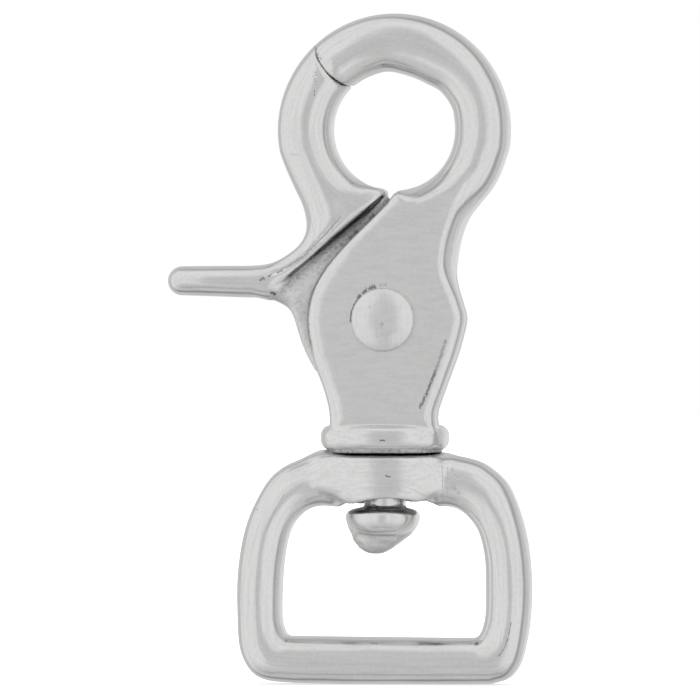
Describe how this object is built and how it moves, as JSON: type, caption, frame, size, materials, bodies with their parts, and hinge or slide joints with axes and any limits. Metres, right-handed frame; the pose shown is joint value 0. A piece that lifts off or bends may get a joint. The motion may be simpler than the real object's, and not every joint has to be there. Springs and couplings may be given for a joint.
{
  "type": "swivel trigger snap",
  "caption": "Cast metal swivel snap hook: round hook and spring gate opened by a thumb lever, on a swivelling square strap eye.",
  "frame": {"origin": "middle of the strap bar's inner face, on the swivel axis", "axes": "+Z along the swivel axis from the strap bar towards the hook, +X to the side away from the thumb lever, +Y from the front of the snap to its back"},
  "size_m": [0.0464, 0.012, 0.0851],
  "materials": {
    "cast_body": "satin",
    "cast_trigger": "satin",
    "rivet_steel": "satin",
    "spring_wire": "satin",
    "cast_eye": "satin"
  },
  "bodies": {
    "eye": {"strap_eye": "cast_eye"},
    "hook": {"hook_body": "cast_body", "pivot_rivet": "rivet_steel", "trigger_spring": "spring_wire"},
    "gate": {"trigger": "cast_trigger"}
  },
  "joints": [
    {"name": "swivel", "type": "hinge", "parent": "eye", "child": "hook", "pos_m": [0, 0, 0.0235], "axis": [0, 0, 1], "continuous": true},
    {"name": "trigger_pivot", "type": "hinge", "parent": "hook", "child": "gate", "pos_m": [0, 0, 0.0402], "axis": [0, -1, 0], "range_deg": [0, 32], "stiffness_Nm_per_rad": 0.2, "springref_deg": -34.38, "deforming": ["trigger_spring"]}
  ]
}
